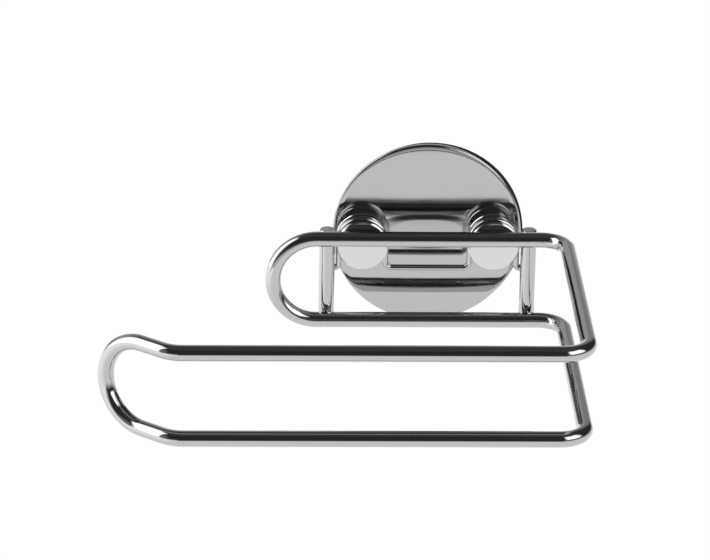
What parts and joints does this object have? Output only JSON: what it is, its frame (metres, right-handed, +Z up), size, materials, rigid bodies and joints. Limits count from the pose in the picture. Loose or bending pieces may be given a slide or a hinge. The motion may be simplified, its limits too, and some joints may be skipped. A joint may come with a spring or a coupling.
{
  "type": "toilet roll holder",
  "caption": "Wall-mounted toilet roll holder: a bent chromed wire loop with an open, turned-back end hangs by a thin wire on grooved posts of a round, adhesive-backed wall disc.",
  "frame": {"origin": "wall face of the adhesive pad, at the centre of the wall disc", "axes": "+Y into the wall, +Z up, +X to the right as seen from the room"},
  "size_m": [0.1503, 0.1097, 0.0614],
  "materials": {
    "chrome": "polished chrome plating",
    "zinc_steel": "plain zinc plating",
    "foam": "matte dark foam"
  },
  "bodies": {
    "wall_base": {"wall_disc": "chrome", "backing_plate": "zinc_steel", "adhesive_pad": "foam", "post_left": "chrome", "post_right": "chrome", "post_screw_left": "zinc_steel", "post_screw_right": "zinc_steel"},
    "frame": {"roll_wire": "chrome", "upright_left": "chrome", "upright_right": "chrome", "hanger_wire": "chrome"}
  },
  "joints": [
    {"name": "frame_lift", "type": "slide", "parent": "wall_base", "child": "frame", "axis": [0, 0, 1], "range_m": [0, 0.018]}
  ]
}
